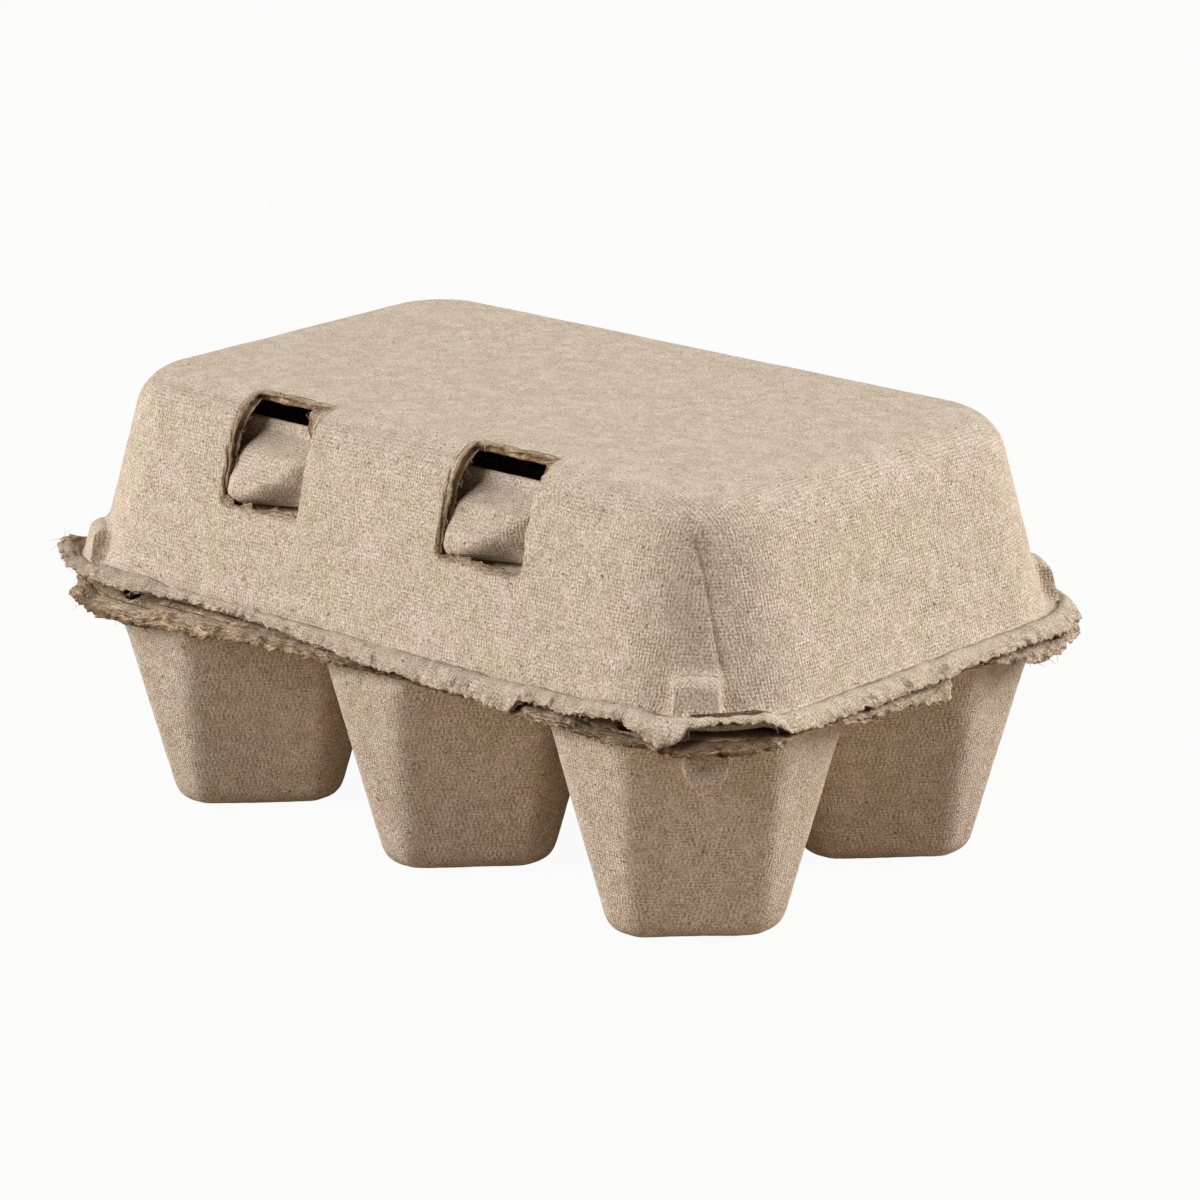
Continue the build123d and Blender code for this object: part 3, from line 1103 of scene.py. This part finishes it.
pulpFinishLook = {
    "base": (0.640, 0.500, 0.372, 1),
    "pink": (0.664, 0.500, 0.390, 1),
    "dun": (0.624, 0.492, 0.354, 1),
    "torn": (0.745, 0.512, 0.302, 1),
    "deepTorn": (0.300, 0.168, 0.072, 1),
    "speck": (0.220, 0.140, 0.085, 1),
    "lint": (0.880, 0.760, 0.620, 1),
    # dark brown of real pocks and splits, also used as painted shade in the rim's gap and along creases
    "crackAndShade": (0.120, 0.062, 0.026, 1),
    "wirePitch": 0.52,  # mm
    "wireWarp": 7.0,
    "wireWeights": (1.0, 1.0, 0.8),
    "wireLost": (0.55, 0.9),  # how squarely an axis meets a face where its wires fade and end
    "wireDepth": 0.022,
    "wireTone": 0.11,
    "topFrom": (0.6, 0.95),
    "topSoft": 0.25,
    "pitDepth": 0.05,
    "pitTone": 0.44,
    "grainDepth": 0.05,
    "grainTone": 0.85,
    "flocTone": 0.14,
    "blushShare": 0.8,
    "lintShare": 0.5,
    "speckShare": 0.75,
    "tornShare": 0.85,
    "tornLift": 0.7,
    "splitShare": 0.55,
    "plyRun": (3.0, 2.0, 4.0),
    "plyScale": 0.35,
    "layerDepth": 0.6,
    "splitDepth": 0.2,
    "crackDepth": 0.4,
    "browning": (1.2, 1.5),
    "roughness": 0.92,
    "gloss": 0.15,
    "noises": {  # scale for each mm, detail, and for some the roughness and a stretch of the axes
        "warp": (0.30, 2.0),
        "patchy": (0.22, 3.0),
        "pits": (4.0, 1.0, 0.5, (1.0, 1.0, 0.6)),
        "grain": (7.0, 1.0),
        "clouds": (0.10, 3.0),
        "blush": (0.16, 3.0),
        "threads": (0.85, 2.0, 0.5, (1.0, 0.55, 1.7)),
        "flocs": (0.42, 2.0),
        "lint": (0.6, 1.0),
        "specks": (1.6, 1.0),
        "layers": (1.0, 3.0, 0.6),
        "splits": (1.4, 3.0, 0.6),
    },
    "bands": {  # where a noise begins to show, and where it shows in full
        "patchy": (0.22, 0.62),
        "pits": (0.36, 0.64),
        "clouds": (0.3, 0.7),
        "blush": (0.45, 0.70),
        "threads": (0.004, 0.022),
        "flocs": (0.3, 0.7),
        "lint": (0.56, 0.66),
        "specks": (0.69, 0.73),
        "layers": (0.40, 0.66),
        "splits": (0.004, 0.026),
    },
}


def pulpFinish(name, look):
    finish = Finish(name)
    noises, bands = look["noises"], look["bands"]
    coordinates = finish.tree.nodes.new("ShaderNodeTexCoord").outputs
    scaled = {0: Wire(finish, coordinates["Object"]), "Scale": 1 / mm}
    place = finish.add("ShaderNodeVectorMath", {"operation": "SCALE"}, scaled)
    facing = finish.parts(Wire(finish, coordinates["Normal"]))
    torn, crackAndShade, ply = [finish.attribute(kind) for kind in ("torn", "crackAndShade", "ply")]
    # Wire screen of the mould, printed along all three axes and lost on the face that an axis pierces
    warp = finish.noise(place, *noises["warp"])
    axes = finish.parts(place)
    turn = 2 * math.pi / look["wirePitch"]
    screen = 0.0
    for index, weight in enumerate(look["wireWeights"]):
        wave = (Wire(finish, axes[index]) * turn + warp * look["wireWarp"]).sine()
        across = 1 - Wire(finish, facing[index]).size().band(*look["wireLost"])
        screen = wave * across * weight + screen
    crisp = 1 - Wire(finish, facing[2]).size().band(*look["topFrom"]) * look["topSoft"]
    patchy, pits, clouds, blush, flocs, specks, lint = [
        finish.noise(place, *noises[kind]).band(*bands[kind])
        for kind in ("patchy", "pits", "clouds", "blush", "flocs", "specks", "lint")
    ]
    grain = finish.noise(place, *noises["grain"])
    threads = (finish.noise(place, *noises["threads"]) - 0.5).size().band(*bands["threads"])
    lint = (1 - threads) * lint
    colour = finish.mix(clouds, look["dun"], look["base"])
    colour = finish.mix(blush * look["blushShare"], colour, look["pink"])
    colour = finish.mix(lint * look["lintShare"], colour, look["lint"])
    colour = finish.mix(specks * look["speckShare"], colour, look["speck"])
    # Torn pulp shows its plies as streaks along the edge, with thin dark splits between some of them
    runs = {axis: ply * run for axis, run in enumerate(look["plyRun"])}
    level = finish.add("ShaderNodeCombineXYZ", {}, runs)
    near = finish.add("ShaderNodeVectorMath", {"operation": "SCALE"}, {0: place, "Scale": look["plyScale"]})
    streaks = finish.add("ShaderNodeVectorMath", {"operation": "ADD"}, {0: near, 1: level})
    layers = finish.noise(streaks, *noises["layers"])
    splits = 1 - (finish.noise(streaks, *noises["splits"]) - 0.5).size().band(*bands["splits"])
    pale = layers.band(*bands["layers"]) + look["tornLift"] - torn * look["tornLift"]
    tornColour = finish.mix(pale, look["deepTorn"], look["torn"])
    colour = finish.mix(torn * look["tornShare"], colour, tornColour)
    colour = finish.mix(splits * torn * look["splitShare"], colour, look["crackAndShade"])
    # this attribute darkens to the crack colour: real pocks and splits, and painted shade in the rim's gap,
    # at skin roots and along creases
    colour = finish.mix(crackAndShade, colour, look["crackAndShade"])
    # Shade and light of the weave and the grain; the darker it gets the browner
    tone = screen * patchy * look["wireTone"] + (0.5 - pits) * look["pitTone"]
    tone = tone + (grain - 0.5) * look["grainTone"]
    tone = 1 + tone * crisp + (flocs - 0.5) * look["flocTone"]
    green, blue = look["browning"]
    shade = finish.add("ShaderNodeCombineColor", {}, {0: tone, 1: tone ** green, 2: tone ** blue})
    multiply = {"data_type": "RGBA", "blend_type": "MULTIPLY"}
    colour = finish.add("ShaderNodeMix", multiply, {"Factor": 1.0, 6: colour, 7: shade}, 2)
    height = screen * patchy * look["wireDepth"] * (1 - torn) - pits * look["pitDepth"]
    height = height + grain * look["grainDepth"] + torn * layers * look["layerDepth"]
    height = height - splits * torn * look["splitDepth"] - crackAndShade * look["crackDepth"]
    bump = finish.add("ShaderNodeBump", {}, {"Strength": 1.0, "Distance": mm, "Height": height})
    surface = finish.add(
        "ShaderNodeBsdfPrincipled",
        {},
        {
            "Base Color": colour,
            "Roughness": look["roughness"],
            "Specular IOR Level": look["gloss"],
            "Normal": bump,
        },
    )
    return finish.close(surface)


# Loose fibres that stand out from the torn lips
fibreLook = {
    "share": 0.09,
    "shortest": 0.5,
    "longest": 2.0,
    "radius": 0.04,
    "taper": 0.6,
    "sides": 3,
    "joints": 4,
    "turn": 0.6,
    "spread": (0.5, 0.5, 0.4),
}


def fibrePiece(name, roots, look):
    bm = bmesh.new()
    for kind in ("torn", "crackAndShade", "ply"):
        bm.verts.layers.float.new(kind)
    for place, way in roots:
        step = random.uniform(look["shortest"], look["longest"]) / (look["joints"] - 1)
        last = []
        for joint in range(look["joints"]):
            aside = way.orthogonal().normalized()
            over = way.cross(aside).normalized()
            thick = look["radius"] * (1 - look["taper"] * joint / look["joints"])
            ring = []
            for corner in range(look["sides"]):
                turn = corner * 2 * math.pi / look["sides"]
                spot = place + (aside * math.cos(turn) + over * math.sin(turn)) * thick
                ring.append(bm.verts.new(inBox(spot) * mm))
            if last:
                for corner in range(look["sides"]):
                    bm.faces.new((last[corner - 1], last[corner], ring[corner], ring[corner - 1]))
            last = ring
            place = place + way * step
            bent = Vector((random.gauss(0, 1), random.gauss(0, 1), random.gauss(0, 1)))
            way = (way + bent * look["turn"]).normalized()
    mesh = bpy.data.meshes.new(name)
    bm.to_mesh(mesh)
    bm.free()
    piece = bpy.data.objects.new(name, mesh)
    bpy.context.scene.collection.objects.link(piece)
    print(name, len(roots), "fibres")
    return piece


def lipRoots(sections, look):  # some lips, and a way that leads off each of them
    roots = []
    for section in sections:
        if random.random() < look["share"]:
            lip, before = section[-1][0], section[-2][0]
            stray = Vector([random.gauss(0, spread) for spread in look["spread"]])
            roots.append((lip, ((lip - before).normalized() + stray).normalized()))
    return roots


# The back edge, where tray and lid are one sheet that bends as the lid opens; this strip is made in its
# closed shape only
def foldSections(look):
    sections = []
    for index in range(2 * round(look["halfLength"]) + 1):
        x = index - look["halfLength"]
        section = []
        for step in range(look["rows"] + 1):
            z = look["bottom"] + (look["top"] - look["bottom"]) * step / look["rows"]
            y = look["y"] - look["groove"] * bell(z - carton["rimHeight"], look["grooveSpread"])
            y += wander(Vector((x, z, 0)), look["waver"])
            section.append((Vector((x, y, z)), Vector((0, 1, 0))))
        sections.append(section)
    return sections


pulp = pulpFinish("pulp", pulpFinishLook)
tray = pulpPiece("tray_pulp", "tray", trayLook, workTray)
finishPiece(tray, pulp, "tray", "tray")
lid = pulpPiece("lid_pulp", "lid", lidLook, workLid)
finishPiece(lid, pulp, "lid", "lid")
flap = pulpPiece("flap_pulp", "latch_flap", flapLook, workFlap)
finishPiece(flap, pulp, "latch_flap", "latch_flap")
print("pulp pieces done")

for body, look in (("tray", trayLook), ("lid", lidLook)):
    roots = []
    for index, skin in enumerate(look["skins"]):
        sections = rimSections(look, skin)
        roots += lipRoots(sections, fibreLook)
        finishPiece(skinPiece(f"{body}_rim_skin_{index}", sections, skin), pulp, body)
    finishPiece(fibrePiece(f"{body}_rim_fibres", roots, fibreLook), pulp, body)
print("rim skins done")

tears = [jambSections(carton["windowX"][window], side, points) for window, side, points in jambTears]
tears += [sillSections(carton["windowX"][window], points) for window, points in sillTears]
tears += [headSections(carton["windowX"][window], points) for window, points in headTears]
roots = []
for index, sections in enumerate(tears):
    roots += lipRoots(sections, fibreLook)
    finishPiece(skinPiece(f"window_tear_{index}", sections, cutLook), pulp, "lid")
finishPiece(fibrePiece("window_fibres", roots, fibreLook), pulp, "lid")
print("window tears done")

fold = skinPiece("back_fold", foldSections(foldLook), foldLook)
fold.data.materials.append(pulp)
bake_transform(fold)
print("back fold done")

# Studio: a pale floor, two soft lamps on the left, one on the right and a weak one above
studioLook = {
    "floorColour": (0.48, 0.39, 0.31, 1),
    "floorGlow": 0.95,
    "floorSize": 6.0,
    "sky": 0.03,
    "lampColour": (0.95, 1.0, 1.05),
    "lamps": [  # name, azimuth, elevation, distance, size and watts
        ("front_left_lamp", -21.0, 33.0, 1.4, 0.8, 12.2),
        ("low_left_lamp", -58.0, 17.0, 1.4, 0.7, 11.6),
        ("right_lamp", 130.0, 32.0, 1.4, 0.8, 23.6),
        ("top_lamp", 0.0, 89.0, 1.4, 0.8, 0.4),
    ],
}


def paleFloor(look):
    bm = bmesh.new()
    bmesh.ops.create_grid(bm, x_segments=1, y_segments=1, size=look["floorSize"])
    mesh = bpy.data.meshes.new("floor")
    bm.to_mesh(mesh)
    bm.free()
    floor = bpy.data.objects.new("floor", mesh)
    bpy.context.scene.collection.objects.link(floor)
    finish = Finish("pale_floor")
    plain = finish.add("ShaderNodeBsdfDiffuse", {}, {"Color": look["floorColour"]})
    white = finish.add("ShaderNodeEmission", {}, {"Color": (1, 1, 1, 1), "Strength": 1.0})
    rays = finish.tree.nodes.new("ShaderNodeLightPath").outputs
    seen = Wire(finish, rays["Is Camera Ray"]) + Wire(finish, rays["Is Glossy Ray"])
    seen = seen + Wire(finish, rays["Is Transmission Ray"])
    mixed = finish.add("ShaderNodeMixShader", {}, {0: seen * look["floorGlow"], 1: plain, 2: white})
    mesh.materials.append(finish.close(mixed))


def wayOut(azimuth, elevation):  # from the carton, turned from its front and raised, in degrees
    turn, rise = math.radians(azimuth), math.radians(elevation)
    return Vector((math.sin(turn) * math.cos(rise), -math.cos(turn) * math.cos(rise), math.sin(rise)))


def softLamp(colour, name, azimuth, elevation, distance, size, power):
    way = wayOut(azimuth, elevation)
    lamp = bpy.data.objects.new(name, bpy.data.lights.new(name, "AREA"))
    lamp.data.shape = "SQUARE"
    lamp.data.size = size
    lamp.data.energy = power
    lamp.data.color = colour
    lamp.location = Vector((0, 0, carton["rimHeight"] * mm)) + way * distance
    lamp.rotation_mode = "QUATERNION"
    lamp.rotation_quaternion = way.to_track_quat("Z", "Y")
    bpy.context.scene.collection.objects.link(lamp)


def studioWorld(look):
    world = bpy.data.worlds.new("studio")
    bpy.context.scene.world = world
    world.use_nodes = True
    tree = world.node_tree
    tree.nodes.clear()
    rays = tree.nodes.new("ShaderNodeLightPath")
    glow = tree.nodes.new("ShaderNodeMapRange")
    glow.inputs["To Min"].default_value = look["sky"]
    glow.inputs["To Max"].default_value = 1.0
    tree.links.new(rays.outputs["Is Camera Ray"], glow.inputs["Value"])
    background = tree.nodes.new("ShaderNodeBackground")
    background.inputs["Color"].default_value = (1, 1, 1, 1)
    tree.links.new(glow.outputs["Result"], background.inputs["Strength"])
    output = tree.nodes.new("ShaderNodeOutputWorld")
    tree.links.new(background.outputs["Background"], output.inputs["Surface"])


paleFloor(studioLook)
studioWorld(studioLook)
for lampLook in studioLook["lamps"]:
    softLamp(studioLook["lampColour"], *lampLook)
print("studio done")

cameraLook = {
    "azimuth": 41.23,
    "elevation": 16.87,
    "distance": 0.7803,
    "target": (0.00417, 0.00391, 0.035),
    "lens": 148.07,
    "sensor": 36.0,
}


def placeCamera(look):
    back = wayOut(look["azimuth"], look["elevation"])
    camera = bpy.data.objects.new("camera", bpy.data.cameras.new("camera"))
    camera.data.lens, camera.data.sensor_width = look["lens"], look["sensor"]
    camera.location = Vector(look["target"]) + back * look["distance"]
    camera.rotation_mode = "QUATERNION"
    camera.rotation_quaternion = back.to_track_quat("Z", "Y")
    bpy.context.scene.collection.objects.link(camera)
    bpy.context.scene.camera = camera


placeCamera(cameraLook)
bpy.context.scene.view_settings.view_transform = "Standard"
